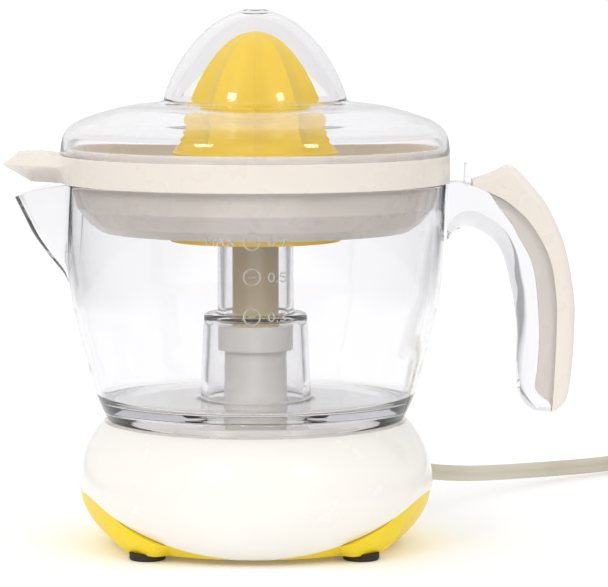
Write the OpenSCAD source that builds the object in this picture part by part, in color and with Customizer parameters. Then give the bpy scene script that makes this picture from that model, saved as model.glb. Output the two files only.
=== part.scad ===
/* [Base] */
// Largest radius of the motor base
base_r = 66; // [60:0.5:80]
// Height of the base's widest ring above the table
belly_z = 22.5; // [20:0.5:26]
// Height of the deck that the jug stands on
deck_z = 46.2; // [44:0.1:60]
// Wall of the base's casings
case_wall = 2.2; // [1.8:0.1:3]
// Distance of each foot from the middle, both ways
foot_place = 38.7; // [34:0.1:42]
// Radius of a foot
foot_r = 6.6; // [5:0.1:8]
// Thickness of a foot
foot_h = 2.4; // [2:0.1:4]
// Radius of the parting curve between the white and the yellow casing
parting_r = 105; // [90:1:130]

/* [Jug] */
// Outer radius of the jug at its rim
jug_r = 70.5; // [66:0.5:84]
// Height of the jug from the deck to its rim
jug_h = 88.5; // [74:0.5:108]
// Wall of the jug
jug_wall = 2.2; // [1.6:0.1:3]
// Outer radius of the jug's skirt
skirt_r = 55.5; // [50:0.5:60]
// Reach of the spout's tip from the spindle
spout_reach = 89.1; // [80:0.1:104]
// Reach of the handle from the spindle
handle_reach = 118; // [108:0.5:136]
// Width of the handle
handle_w = 18; // [14:0.5:24]

/* [Strainer, reamer and lid] */
// Height of the strainer's outer band
band_h = 10.3; // [8:0.1:14]
// Reach of the spout cover from the spindle
cover_reach = 93.4; // [84:0.1:110]
// Depth of the strainer below the jug's rim
basket_depth = 17.9; // [14:0.1:22]
// Wall of the strainer
basket_wall = 2; // [1.6:0.1:2.6]
// Radius of the yellow screen
screen_r = 31.6; // [28:0.1:34]
// Radius of the reamer's skirt
reamer_r = 30.7; // [26:0.1:32]
// Height of the reamer
reamer_h = 67.5; // [56:0.5:80]
// Wall of the lid
lid_wall = 1.8; // [1.4:0.1:2.4]

/* [Drive] */
// Radius of the spindle where it shows in the jug
spindle_r = 8.6; // [7:0.1:10]
// Radius of the spindle's shaft in its bushes
shaft_r = 5; // [4:0.1:6]
// Distance that the spindle can be pressed down
press = 2; // [1:0.1:3]
// Teeth of each driven gear
gear_teeth = 40; // [36:1:44]
// Teeth of each pinion
pinion_teeth = 12; // [12:1:14]
// Gear module of the motor's stage
fine_module = 0.7; // [0.6:0.05:0.8]
// Gear module of the spindle's stage
coarse_module = 1; // [0.9:0.05:1.1]

/* [Cord] */
// Width of the flat twin lead
cord_w = 6.4; // [5:0.1:8]
// Thickness of the flat twin lead
cord_t = 3.2; // [2.4:0.1:4]

/* [Hidden] */
$fn = 96;
cut = 1; // how far a cutting solid runs past what it cuts

// The row's origin is under the middle of the object, and the spindle stands a little to the left.
spindle_x = (cover_reach - handle_reach) / 2;

// Base
floor_z = foot_h - 0.2;
floor_top = floor_z + 2;
upper_rise = 45.8; // upper half height of the bowl's ellipse
lower_rise = 35.5; // lower half height
parting_z = parting_r + 2; // height of the parting curve's centre
parting_top = 21.5;
plateau_r = skirt_r - 5;
plateau_z = deck_z + 4.3;
tower_r = 11.5;
tower_bore = 9.3;
tower_top = deck_z + 29.8;
case_gap = 0.1; // between the two casings' nested edges
feet = [for (x = [-1, 1], y = [-1, 1]) [x * foot_place, y * foot_place]];
boss_z = 10;
screw_r = 1.5;
cord_z = 17; // height of the cord's exit
cord_angle = 58; // its direction in plan
relief_r = 4.2;
relief_l = 22;
relief_from = base_r - 0.7; // the face of the case where the strain relief comes out
// The underside's radius inside the casing
floor_r = base_r * sqrt(1 - pow((belly_z - floor_z) / lower_rise, 2)) - case_wall - case_gap;

// Drive train, upward from the floor
plate_z = 21;
plate_h = 2.5;
plate_r = 46.5;
post_angles = [110, 230, 350];
post_ring = 43;
motor_x = -33;
motor_r = 22;
motor_z = 8;
motor_h = plate_z - motor_z;
ear_place = motor_r + 3.5; // where the motor is screwed down
bush_r = 3.5;
fit = 0.07; // running clearance of a shaft in its bush
wheel_z = 25.5;
wheel_h = 4.5;
pinion_top = 38.5;
output_z = 33;
output_h = 5;
motor_link = fine_module * (gear_teeth + pinion_teeth) / 2;
spindle_link = coarse_module * (gear_teeth + pinion_teeth) / 2;
// The intermediate gear stands where circles of the two centre distances cross.
cross_x = (spindle_link * spindle_link - motor_link * motor_link + motor_x * motor_x) / (2 * motor_x);
middle = [cross_x, -sqrt(spindle_link * spindle_link - cross_x * cross_x)];
axle_r = 2;
// Each pair meshes where a tooth of the smaller gear points at a gap of the larger one.
motor_turn = atan2(middle[1], middle[0] - motor_x);
spindle_turn = atan2(-middle[1], -middle[0]);
pressure = 25; // the teeth's pressure angle
backlash = 0.12;
rotor_r = 13.8;
motor_shaft_r = 1.5;
pad_top = 20;
pad_h = 2.5;
pad_r = 9;
pad_stem_r = 3;
spring_r = 6.3;
spring_wire = 0.6;
spring_turns = 6;
button_x = 16;
switch_top = 14.5;
collar_r = 14;
collar_z = tower_top - 3.3;
collar_top = tower_top + 6;

// Jug
rim_z = deck_z + jug_h;
jug_floor = deck_z + 8.4;
jug_under = deck_z + 5.8;
step_z = deck_z + 40; // where the chimney's wide tier ends
chimney_wide = 19;
chimney_slim = 14.1;
chimney_wall = 1.8;
chimney_top = rim_z - 7;
handle_side = 2.4;
root = jug_r - 8; // the handle and the spouts start inside the wall and are cut off at it
// The outside of the wall: share of the way from the skirt to the rim, and share of the height.
wall_shape = [[0, 0], [0.05, 0.026], [0.21, 0.093], [0.44, 0.227], [0.7, 0.395], [0.866, 0.531],
    [0.946, 0.707], [1, 1]];
function wall_point(p, inset) = [skirt_r + (jug_r - skirt_r) * p[0] - inset, deck_z + jug_h * p[1]];
function wall_r(z, inset) =
    lookup(z, [for (p = wall_shape) [deck_z + jug_h * p[1], wall_point(p, inset)[0]]]);

spout_wide = 25;

// Strainer
band_r = jug_r + 1.5;
band_top = rim_z + band_h;
basket_under = rim_z - basket_depth;
basket_floor = basket_under + basket_wall;
basket_gap = 0.7; // between the basket and the jug's wall
basket_r = jug_r - jug_wall - basket_gap;
// The basket's taper: how far it steps in, and the share of the way down.
basket_shape = [[0, 0], [1.6, 0.49], [6.1, 0.82], [10.6, 1]];
lip_r = band_r - 2.3;
lip_h = 2.5;
slot_count = 20;
screen_gap = 0.3;
flange_r = screen_r + 2.8;
screen_under = basket_under - 3.8;
screen_floor = screen_under + 1.6;
boss_top = basket_floor + 4;
ring_gap = 1; // between the screen's boss and the chimney
reamer_z = basket_floor + 3.7;
reamer_top = reamer_z + reamer_h;
rib_count = 10;
cone_z = reamer_z + 24; // where the reamer's skirt turns into its cone
socket_r = 7;
socket_gap = 0.3;
spline_z = chimney_top + 1.5;
spindle_top = cone_z + 16;

// Lid
lid_r = band_r;
dome_r = 33.8;
dome_z = band_top + 19;
lid_top = reamer_top + 8.3;

// Cord: where it runs free, from the strain relief to the coil and from the coil to the plug
cord_route = [[34, 74, 17], [38, 80, 16.5], [44, 86.5, 15], [52, 93.5, 12.8], [60.5, 101, 10.7],
    [72, 112, 8.6], [84, 123.5, 7.2], [97, 136.5, 6], [110, 149, 5], [124, 161, 4.4],
    [137, 172, 4.1], [150, 183, 4.1], [162, 194, 4.1]];
tail_route = [[228, 163, 4.1], [228.5, 150, 4], [227, 138, 4], [224.5, 126, 4.4], [223, 115, 5.4],
    [222.6, 107, 6]];
coil_centre = [188, 163];
coil_in = 29.6;
coil_out = 41.7;
coil_z = 0.8;
coil_h = cord_w + 0.2;
tie_t = 0.8;
tie_w = 6;
tie_angle = 250;
plug_place = [222.6, 107, 6];
plug_l = 26;
plug_w = 21;
plug_h = 12;
blade_l = 17;
blade_gap = 12.7;

// ---- Shared shapes ----
module at_spindle() { translate([spindle_x, 0, 0]) children(); }

module at_motor() { at_spindle() translate([motor_x, 0, 0]) children(); }

module at_middle() { at_spindle() translate(middle) children(); }

// A plain ring standing on height z.
module ring(outer, inner, z, h) {
    translate([0, 0, z]) difference() {
        cylinder(r = outer, h = h);
        translate([0, 0, -cut]) cylinder(r = inner, h = h + 2 * cut);
    }
}

module rod(r, z, top) { translate([0, 0, z]) cylinder(r = r, h = top - z); }

module box(low, high) { translate(low) cube(high - low); }

// Points of a bowl's outline: half of an ellipse whose upper and lower halves differ in height.
function bowl(r, up, down, low, high, steps = 24) =
    let (a = asin((low - belly_z) / down), b = asin((high - belly_z) / up))
    [for (i = [0:steps]) let (t = a + (b - a) * i / steps)
        [r * cos(t), belly_z + (t < 0 ? down : up) * sin(t)]];

// A smooth line through chosen points.
function smooth(p, n = 4) = concat([for (i = [0:len(p) - 2], k = [0:n - 1])
    let (a = p[max(i - 1, 0)], b = p[i], c = p[i + 1], d = p[min(i + 2, len(p) - 1)], t = k / n)
    0.5 * (2 * b + (c - a) * t + (2 * a - 5 * b + 4 * c - d) * t * t
        + (3 * b - a - 3 * c + d) * t * t * t)], [p[len(p) - 1]]);

// The same line moved to its left by a wall's thickness; its last point is on the axis.
function inside(p, wall) = [for (i = [0:len(p) - 1])
    let (d = p[min(i + 1, len(p) - 1)] - p[max(i - 1, 0)])
    i == len(p) - 1 ? [0, p[i][1] - wall] : p[i] + wall * [-d[1], d[0]] / norm(d)];

// flank() gives half of a tooth's width, in degrees, at a radius.
function involute(a) = tan(a) * 180 / PI - a;
function flank(r, pitch, teeth) = let (base = pitch * cos(pressure), a = r > base ? acos(base / r) : 0)
    90 / teeth - backlash / pitch * 90 / PI + involute(pressure) - involute(a);

// A spur gear on the axis, with a tooth pointing along angle turn.
module gear(teeth, size, z, h, bore, turn) {
    pitch = size * teeth / 2;
    steps = [pitch - 1.2 * size, pitch * 0.93, pitch, pitch + 0.5 * size, pitch + 0.95 * size];
    last = len(steps) - 1;
    translate([0, 0, z]) difference() {
        linear_extrude(h) polygon([for (k = [0:teeth - 1], s = [-1, 1], i = [0:last])
            let (r = s < 0 ? steps[i] : steps[last - i],
                a = turn + 360 / teeth * k + s * flank(r, pitch, teeth))
            r * [cos(a), sin(a)]]);
        translate([0, 0, -cut]) cylinder(r = bore, h = h + 2 * cut);
    }
}

// A tube swept along a route, with an oval section that stands upright.
module sweep(route, half_t, half_w, sides = 8) {
    last = len(route) - 1;
    function section(i) =
        let (d = route[min(i + 1, last)] - route[max(i - 1, 0)],
            side = cross(d, [0, 0, 1]) / norm(cross(d, [0, 0, 1])),
            up = cross(side, d) / norm(cross(side, d)))
        [for (k = [0:sides - 1]) let (a = 360 * (k + 0.5) / sides)
            route[i] + side * half_t * cos(a) + up * half_w * sin(a)];
    polyhedron(points = [for (i = [0:last]) each section(i)], faces = concat(
        [[for (k = [0:sides - 1]) k]],
        [for (i = [0:last - 1], k = [0:sides - 1], half = [0, 1]) let (a = i * sides + k,
            b = i * sides + (k + 1) % sides) half == 0 ? [a, a + sides, b] : [b, a + sides, b + sides]],
        [[for (k = [sides - 1:-1:0]) last * sides + k]]));
}

// ---- Base ----
module case_outside() {
    rotate_extrude() polygon(concat([[0, floor_z]],
        bowl(base_r, upper_rise, lower_rise, floor_z, deck_z), [[0, deck_z]]));
}

module case_cavity() {
    rotate_extrude() polygon(concat([[0, floor_top]],
        bowl(base_r - case_wall, upper_rise - case_wall, lower_rise - case_wall, floor_top,
            deck_z - case_wall), [[0, deck_z - case_wall]]));
}

// Everything above the curve where the white casing meets the yellow one.
module white_zone(gap = 0) {
    translate([0, 0, parting_z]) rotate([90, 0, 0])
        cylinder(r = parting_r + gap, h = 4 * base_r, center = true, $fn = 180);
    translate([-2 * base_r, -2 * base_r, parting_top - gap]) cube(4 * base_r);
}

module along_cord(from) {
    rotate([0, 0, cord_angle]) translate([from, 0, cord_z]) rotate([0, 90, 0]) children();
}

module base_housing() {
    color("ivory") at_spindle() difference() {
        union() {
            difference() {
                intersection() {
                    case_outside();
                    white_zone();
                }
                case_cavity();
                rod(floor_r + case_gap, 0, floor_top + case_gap);
            }
            rod(plateau_r, deck_z - case_wall, plateau_z);
            rod(tower_r, deck_z, tower_top);
            intersection() {
                for (f = feet) translate(f) rod(4, boss_z, deck_z);
                case_outside();
            }
            for (a = post_angles) rotate(a) translate([post_ring, 0, 0])
                rod(3.5, plate_z + plate_h, plateau_z - case_wall / 2);
            translate(middle) rod(4.5, pinion_top + 3, plateau_z - case_wall / 2);
        }
        difference() {
            rod(plateau_r - case_wall, deck_z - 2 * case_wall, plateau_z - case_wall);
            for (a = post_angles) rotate(a) translate([post_ring, 0, 0]) rod(3.5, boss_z, plateau_z);
            translate(middle) rod(4.5, pinion_top + 3, plateau_z);
            for (f = feet) translate(f) rod(4, boss_z, plateau_z);
        }
        rod(tower_bore, deck_z - 2 * case_wall, tower_top + cut);
        for (f = feet) translate(f) rod(screw_r, boss_z - cut, boss_z + 10);
        for (a = post_angles) rotate(a) translate([post_ring, 0, 0])
            rod(1.3, plate_z + plate_h - cut, plate_z + plate_h + 10.5);
        translate(middle) rod(axle_r, pinion_top + 2, pinion_top + 8);
        along_cord(base_r / 2) cylinder(r = relief_r, h = base_r);
    }
}

module leg_bulge() {
    intersection() {
        translate([0, 0, 17.5]) sphere(r = 17.2);
        translate([0, 0, floor_z]) cylinder(r = 30, h = 40);
    }
}

module bottom_cover() {
    color("gold") at_spindle() difference() {
        union() {
            difference() {
                union() {
                    case_outside();
                    intersection() {
                        union() for (f = feet) translate(f) leg_bulge();
                        rotate_extrude()
                            polygon([for (t = [-90:6:90]) [(base_r - 1.7) * cos(t), 14 + 30 * sin(t)]]);
                    }
                }
                case_cavity();
                white_zone(case_gap / 2);
            }
            rod(floor_r, floor_z, floor_top);
            for (f = feet) translate(f) rod(4.4, floor_z, boss_z);
            rod(pad_stem_r + 1.6, floor_z, floor_top + 7.8);
        }
        rod(pad_stem_r + fit, floor_top, pad_top);
        for (f = feet) translate(f) {
            rod(foot_r, 0, foot_h);
            rod(3.2, 0, foot_h + 3.2);
            rod(screw_r, 0, boss_z + cut);
        }
    }
}

module rubber_feet() { color("saddlebrown") at_spindle() for (f = feet) translate(f) rod(foot_r, 0, foot_h); }

module housing_screws() {
    color("silver") at_spindle() for (f = feet) translate(f) {
        rod(3, foot_h + 1.2, foot_h + 3.2);
        rod(screw_r, foot_h + 3, boss_z + 9.8);
    }
}

// ---- Gear plate and motor ----
module gear_plate() {
    color("gainsboro") at_spindle() difference() {
        union() {
            rod(plate_r, plate_z, plate_z + plate_h);
            translate(middle) rod(4, plate_z, wheel_z - 0.3);
        }
        translate([motor_x, 0, 0]) rod(bush_r, plate_z - cut, plate_z + plate_h + cut);
        rod(shaft_r + 2.5, plate_z - cut, plate_z + plate_h + cut);
        translate(middle) rod(axle_r, plate_z - cut, wheel_z + cut);
        for (a = post_angles) rotate(a) translate([post_ring, 0, 0])
            rod(1.3, plate_z - cut, plate_z + plate_h + cut);
        for (s = [-1, 1]) translate([motor_x, s * ear_place, 0])
            rod(screw_r, plate_z - cut, plate_z + plate_h + cut);
    }
}

module plate_screws() {
    color("silver") at_spindle() for (a = post_angles) rotate(a) translate([post_ring, 0, 0]) {
        rod(2.6, plate_z - 1.6, plate_z);
        rod(1.3, plate_z - 0.2, plate_z + plate_h + 10.4);
    }
}

module gear_axle() { color("silver") at_middle() rod(axle_r, plate_z, pinion_top + 8); }

module motor_stator() {
    color("lightslategray") at_motor() {
        difference() {
            union() {
                rod(motor_r, motor_z, plate_z);
                for (s = [-1, 1]) translate([0, s * ear_place, 0]) rod(4, plate_z - 1, plate_z);
            }
            rod(motor_r - 1, motor_z + 1, plate_z - 1);
            rod(bush_r, motor_z - cut, plate_z + cut);
            for (s = [-1, 1]) translate([0, s * ear_place, 0]) rod(screw_r, motor_z, plate_z + cut);
        }
        ring(rotor_r + 1.2, rotor_r + 0.4, motor_z + 1, motor_h - 2);
    }
}

module motor_screws() {
    color("silver") at_motor() for (s = [-1, 1]) translate([0, s * ear_place, 0]) {
        rod(3, plate_z - 3, plate_z - 1);
        rod(screw_r, plate_z - 1.2, plate_z + plate_h);
    }
}

module coil_bobbin() {
    color("white") at_motor() {
        ring(rotor_r + 2.2, rotor_r + 1.2, motor_z + 1, motor_h - 2);
        ring(motor_r - 1.2, rotor_r + 2, motor_z + 1, 1);
        ring(motor_r - 1.2, rotor_r + 2, plate_z - 2, 1);
    }
}

module coil_winding() {
    color("chocolate") at_motor() ring(motor_r - 1.8, rotor_r + 2.2, motor_z + 2, motor_h - 4);
}

module rotor_bushes() {
    color("goldenrod") at_motor() {
        ring(bush_r, motor_shaft_r + fit, motor_z - 1.6, 3);
        ring(bush_r, motor_shaft_r + fit, plate_z - 1.4, plate_h + 1.4);
    }
}

module spindle_bushes() {
    color("goldenrod") at_spindle() {
        ring(shaft_r + 2.5, shaft_r + fit, plate_z, plate_h + 1);
        ring(tower_bore, shaft_r + fit, tower_top - 12, 12);
    }
}

module micro_switch() {
    color("dimgray") at_spindle() difference() {
        box([12, -5, floor_top], [34, 5, switch_top]);
        translate([button_x, 0, 0]) rod(1.8, switch_top - 6, switch_top + cut);
    }
}

module switch_terminals() {
    color("silver") at_spindle() for (y = [-3, 3]) box([34, y - 0.4, 7], [39, y + 0.4, 11]);
}

// Points of the inner leads, from the spindle's axis.
// Each wire starts inside the strain relief's flange, a little to one side of the cord's line.
function wire_start(side) = (relief_from - 8.54) * [cos(cord_angle), sin(cord_angle), 0]
    + side * [-sin(cord_angle), cos(cord_angle), 0] + [0, 0, cord_z];
wire_routes = [
    [wire_start(-1.2), [32, 41, 14], [36, 30, 9], [44, 16, 8], [46, 6, 9], [42.5, 3.2, 9], [39, 3, 9]],
    [wire_start(1.2), [24.5, 43, 13], [12, 36, 9], [-4, 28, 9], [-13, 20, 12], [-16.78, 15.3, 12]],
    [[39, -3, 9], [43, -3.4, 9], [44, -9, 8], [34, -18, 7], [14, -22, 8], [-4, -20, 10],
        [-13, -18, 12], [-16.78, -15.3, 12]]
];

module lead_wires() { color("firebrick") at_spindle() for (w = wire_routes) sweep(w, 0.9, 0.9, 8); }

// ---- Turning parts ----
module motor_rotor() {
    color("darkslategray") at_motor() ring(rotor_r, motor_shaft_r, motor_z + 1.8, motor_h - 3.6);
}

module motor_shaft() { color("silver") at_motor() rod(motor_shaft_r, motor_z - 1.4, wheel_z + 6); }

module motor_pinion() {
    color("white") at_motor() gear(pinion_teeth, fine_module, plate_z + plate_h + 1, wheel_h + 1.5,
        motor_shaft_r, motor_turn);
}

module intermediate_gear() {
    color("white") at_middle() {
        gear(gear_teeth, fine_module, wheel_z, wheel_h, axle_r + fit, motor_turn + 180 + 180 / gear_teeth);
        gear(pinion_teeth, coarse_module, wheel_z + wheel_h, pinion_top - wheel_z - wheel_h, axle_r + fit,
            spindle_turn);
    }
}

module output_gear() {
    color("white") at_spindle() {
        gear(gear_teeth, coarse_module, output_z, output_h, shaft_r, spindle_turn + 180 + 180 / gear_teeth);
        ring(shaft_r + 4, shaft_r, output_z + output_h, 3);
    }
}

module spindle_clip() { color("silver") at_spindle() ring(shaft_r + 3, shaft_r, output_z - 1.4, 1.4); }

module drive_spindle() {
    color("tan") at_spindle() {
        rod(pad_stem_r - 0.5, pad_top, pad_top + press);
        rod(shaft_r, pad_top + press, collar_top);
        rod(spindle_r, collar_top, spline_z);
        translate([0, 0, spline_z]) cylinder(r = socket_r, h = spindle_top - spline_z, $fn = 6);
    }
}

module drip_collar() {
    color("ivory") at_spindle() {
        ring(collar_r, tower_r + 0.7, collar_z, collar_top - 2.5 - collar_z);
        ring(collar_r, shaft_r, collar_top - 2.5, 2.5);
    }
}

module thrust_pad() {
    color("white") at_spindle() {
        rod(pad_r, pad_top - pad_h, pad_top);
        ring(shaft_r, pad_stem_r + 0.2, pad_top, press - 0.6);
        rod(pad_stem_r, floor_top + 4, pad_top);
        box([0, -3, pad_top - pad_h], [button_x + 2, 3, pad_top]);
    }
}

module return_spring() {
    low = floor_top + spring_wire;
    rise = pad_top - pad_h - floor_top - 2 * spring_wire;
    steps = spring_turns * 12;
    color("silver") at_spindle() sweep([for (i = [0:steps]) [spring_r * cos(30 * i), spring_r * sin(30 * i),
        low + rise * i / steps]], spring_wire * 0.98, spring_wire * 0.98, 6);
}

module switch_button() {
    color("black") at_spindle() translate([button_x, 0, 0]) rod(1.5, switch_top - 3, pad_top - pad_h);
}

// ---- Jug ----
wall_out = [for (p = wall_shape) wall_point(p, 0)];
wall_in = [for (i = [len(wall_shape) - 1:-1:0]) if (deck_z + jug_h * wall_shape[i][1] > jug_floor)
    wall_point(wall_shape[i], jug_wall)];

module jug_shell() {
    rotate_extrude() polygon(concat(wall_out, wall_in, [
        [wall_r(jug_floor, jug_wall), jug_floor],
        [chimney_wide + 1.4, jug_floor],
        [chimney_wide + 1, jug_floor + 3],
        [chimney_wide, step_z],
        [chimney_slim, step_z + 2],
        [chimney_slim, chimney_top],
        [chimney_slim - 2.4, chimney_top],
        [chimney_slim - 2.4, step_z],
        [chimney_wide - chimney_wall, step_z - 1.6],
        [chimney_wide + 1 - chimney_wall, jug_under],
        [wall_r(jug_under, jug_wall), jug_under],
        [skirt_r - jug_wall, deck_z]]));
}

// All that the jug's wall encloses, and the wall.
module jug_block() { rotate_extrude() polygon(concat(wall_out, [[0, rim_z], [0, deck_z]])); }

// A spout: its side outline, as [distance short of the tip, drop below the rim], within a pointed plan.
module spout_form(side, tip, wide) {
    intersection() {
        rotate([90, 0, 0]) linear_extrude(jug_r, center = true)
            polygon([for (p = side) [p[0] - tip, rim_z - p[1]]]);
        translate([0, 0, deck_z]) linear_extrude(2 * jug_h)
            polygon([[-tip - 0.5, 0], [-jug_r * 0.72, -wide], [-jug_r * 0.72, wide]]);
    }
}

spout_side = [[0, 5.7], [3, 11.8], [6.6, 19], [11.6, 26.2], [18.1, 34.2], [30, 50], [40, 50], [40, 0],
    [18.6, 0], [8.5, 2.3]];
spout_hollow = [[0, 5], [2.4, 11], [6.2, 18.2], [11.2, 25.6], [17.6, 33.4], [26, 44], [40, 60],
    [40, -2], [0, -2]];

module jug_bowl() {
    color("aliceblue", 0.5) at_spindle() difference() {
        union() {
            jug_shell();
            difference() {
                spout_form(spout_side, spout_reach, spout_wide);
                jug_block();
            }
        }
        spout_form(spout_hollow, spout_reach - 1.6 * jug_wall, spout_wide - jug_wall);
    }
}

// The handle's outlines, as [distance back from its furthest reach, drop below the rim].
function back(list) = [for (p = list) [handle_reach - p[0], rim_z - p[1]]];
handle_outer = concat([[root, rim_z + 0.8]], smooth(back([[47, -0.8], [34.3, 2.4], [19.6, 11.7], [11.2, 23.9],
    [6.9, 38.7], [6.7, 56.4], [7.6, 74.2], [8.5, 84.9]])));
handle_inner = concat(smooth(back([[10.6, 85.8], [15.6, 84.2], [18.8, 81.3], [21, 70.6], [20.9, 56.4],
    [21.9, 45.7], [25.1, 30.7], [29.7, 21.8], [37.3, 17.1], [46, 19.6]])), [[root, rim_z - 26]]);
grip_outer = concat(back([[37.9, -0.8], [23.4, -5.9]]), smooth(back([[17.5, -0.6], [9, 10.8], [4.8, 20.5],
    [1.5, 32.4], [0, 48.7], [0.7, 67.1], [2.4, 79.5], [4.6, 83.1], [8.5, 85.3]])));
grip_inner = back([[12, 80], [14, 60], [14, 40], [20, 22], [32, 8]]);
tongue_edge = smooth(back([[25.7, 9.8], [19.6, 22.3], [14.9, 36.6], [13.1, 51.7], [13.6, 67.1],
    [14.2, 79.5]]));

module handle_form() { polygon(concat(handle_outer, handle_inner)); }

module tongue_form() {
    intersection() {
        handle_form();
        polygon(concat(tongue_edge, back([[-10, 79.5], [-10, 9.8]])));
    }
}

module upright(w) { rotate([90, 0, 0]) linear_extrude(w, center = true) children(); }

module jug_handle() {
    color("aliceblue", 0.5) at_spindle() difference() {
        union() {
            upright(handle_w) handle_form();
            box([jug_r + 6.8, -handle_w / 3, rim_z - 2], [jug_r + 8.2, handle_w / 3, rim_z + 6.9]);
        }
        upright(handle_w - 2 * handle_side) tongue_form();
        jug_block();
        rod(band_r + basket_gap, rim_z - 0.01, rim_z + 20);
    }
}

module handle_grip() {
    color("antiquewhite") at_spindle() {
        upright(handle_w) difference() {
            polygon(concat(grip_outer, grip_inner));
            handle_form();
        }
        upright(handle_w - 2 * handle_side) tongue_form();
    }
}

// ---- Strainer ----

module strainer_basket() {
    inner = [for (i = [2:-1:0]) [basket_r - basket_shape[i][0] - basket_wall,
        rim_z - basket_depth * basket_shape[i][1] + (i > 0 ? 0.6 : 0)]];
    color("antiquewhite") at_spindle() difference() {
        union() {
            rotate_extrude() polygon(concat(
                [for (p = basket_shape) [basket_r - p[0], rim_z - basket_depth * p[1]]],
                [[screen_r + screen_gap, basket_under], [screen_r + screen_gap, basket_floor],
                    [basket_r - 11, basket_floor]],
                inner,
                [[lip_r - 1.5, rim_z + 3], [lip_r - 1.5, band_top + lip_h], [lip_r, band_top + lip_h],
                    [lip_r, band_top], [band_r, band_top], [band_r, rim_z]]));
            difference() {
                intersection() {
                    upright(jug_r) polygon([[-root, rim_z], [11.4 - cover_reach, rim_z],
                        [4.8 - cover_reach, rim_z + 3.4], [-cover_reach, rim_z + 6.3],
                        [7.1 - cover_reach, band_top + 1.4], [9.4 - cover_reach, band_top + 1.4],
                        [14.4 - cover_reach, band_top], [-root, band_top]]);
                    linear_extrude(2 * jug_h + deck_z)
                        polygon([[-cover_reach - 2, 0], [-root, -spout_wide], [-root, spout_wide]]);
                }
                rod(band_r - 0.5, 0, 2 * rim_z);
            }
        }
        for (i = [0:slot_count - 1]) rotate(360 / slot_count * (i + 0.5))
            box([flange_r + 1, -1.3, basket_under - cut], [flange_r + 8, 1.3, basket_floor + cut]);
    }
}

module pulp_screen() {
    bore = chimney_slim + ring_gap;
    color("gold") at_spindle() difference() {
        rotate_extrude() polygon([[bore, screen_under], [screen_r, screen_under], [screen_r, basket_floor],
            [flange_r, basket_floor], [flange_r, basket_floor + 1.4],
            [screen_r - 1.6, basket_floor + 1.4], [screen_r - 1.6, screen_floor],
            [bore + 2, screen_floor], [bore + 2, boss_top], [bore, boss_top]]);
        for (i = [0:23]) rotate(15 * i)
            box([bore + 3.5, -0.8, screen_under - cut], [screen_r - 3, 0.8, screen_floor + cut]);
    }
}

// ---- Reamer ----
function cone(r, low, high, bend, steps = 18) = [for (i = [0:steps]) let (t = 1 - pow(1 - i / steps, 2))
    [r * sqrt(max(0, 1 - pow(t, bend))), low + (high - low) * t]];

module reamer() {
    skirt_in = reamer_r - 2;
    color("gold") at_spindle() difference() {
        union() {
            rotate_extrude() polygon(concat([[0, reamer_z], [reamer_r, reamer_z], [reamer_r, cone_z]],
                cone(reamer_r * 0.87, cone_z, reamer_top - 2, 1.35)));
            intersection() {
                rotate_extrude()
                    polygon(concat([[0, cone_z]], cone(reamer_r - 0.8, cone_z, reamer_top, 1.35)));
                for (i = [0:rib_count / 2 - 1]) rotate(90 + 360 / rib_count * i)
                    box([-reamer_r, -1.6, cone_z - cut], [reamer_r, 1.6, reamer_top + cut]);
            }
        }
        difference() {
            rotate_extrude() polygon(concat([[0, reamer_z - cut], [skirt_in, reamer_z - cut],
                [skirt_in, cone_z - 3]], cone(reamer_r * 0.87 - 2.4, cone_z, reamer_top - 6, 1.35)));
            rod(socket_r + 3, spline_z + press + 1, reamer_top);
        }
        translate([0, 0, reamer_z]) cylinder(r = socket_r + socket_gap, h = spindle_top + 1 - reamer_z, $fn = 6);
    }
}

// ---- Lid ----
// The lid's edge, as [distance in from its outside, rise above the strainer's band].
lid_edge = [[0, 0], [0, 1.9], [0.8, 6.4], [1.9, 8.7], [4.1, 10.9], [8, 13.1], [14.9, 15.4], [23.2, 17.6],
    [32, 18.7]];

module lid() {
    outside = concat([for (p = lid_edge) [lid_r - p[0], band_top + p[1]]],
        cone(dome_r, dome_z, lid_top, 1.33, 20));
    within = inside(outside, lid_wall);
    color("aliceblue", 0.5) at_spindle() rotate_extrude()
        polygon(concat(outside, [for (i = [len(within) - 1:-1:0]) within[i]]));
}

// ---- Cord ----

module strain_relief() {
    color("antiquewhite") at_spindle() {
        along_cord(relief_from - 7.8) cylinder(r = relief_r + 1, h = 2);
        along_cord(relief_from - 6) cylinder(r = relief_r, h = 8);
        along_cord(relief_from + 0.7) cylinder(r = relief_r + 1.2, h = 2);
        along_cord(relief_from + 2.5) cylinder(r1 = relief_r + 0.4, r2 = cord_w / 2 + 0.6, h = relief_l - 2.5);
    }
}

module power_cord() { color("antiquewhite") sweep(cord_route, cord_t / 2, cord_w / 2); }

module cord_tail() { color("antiquewhite") sweep(tail_route, cord_t / 2, cord_w / 2); }

module coil_form() { translate(coil_centre) ring(coil_out, coil_in, coil_z, coil_h); }

module cord_coil() { color("antiquewhite") coil_form(); }

module cord_tie() {
    color("dimgray") difference() {
        translate(coil_centre) rotate(tie_angle)
            box([coil_in - tie_t, -tie_w / 2, 0], [coil_out + tie_t, tie_w / 2, coil_z + coil_h + tie_t]);
        coil_form();
    }
}

module plug_body() {
    color("antiquewhite") translate(plug_place + [0, 0, -plug_h / 2]) linear_extrude(plug_h)
        polygon([[-plug_w / 2, -plug_l], [plug_w / 2, -plug_l], [plug_w / 2, -plug_l / 2], [5, 0], [-5, 0],
            [-plug_w / 2, -plug_l / 2]]);
}

module plug_blades() {
    color("silver") translate(plug_place) for (s = [-1, 1])
        translate([s * blade_gap / 2 - 0.75, -plug_l - blade_l, -3.2]) cube([1.5, blade_l, 6.4]);
}

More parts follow.
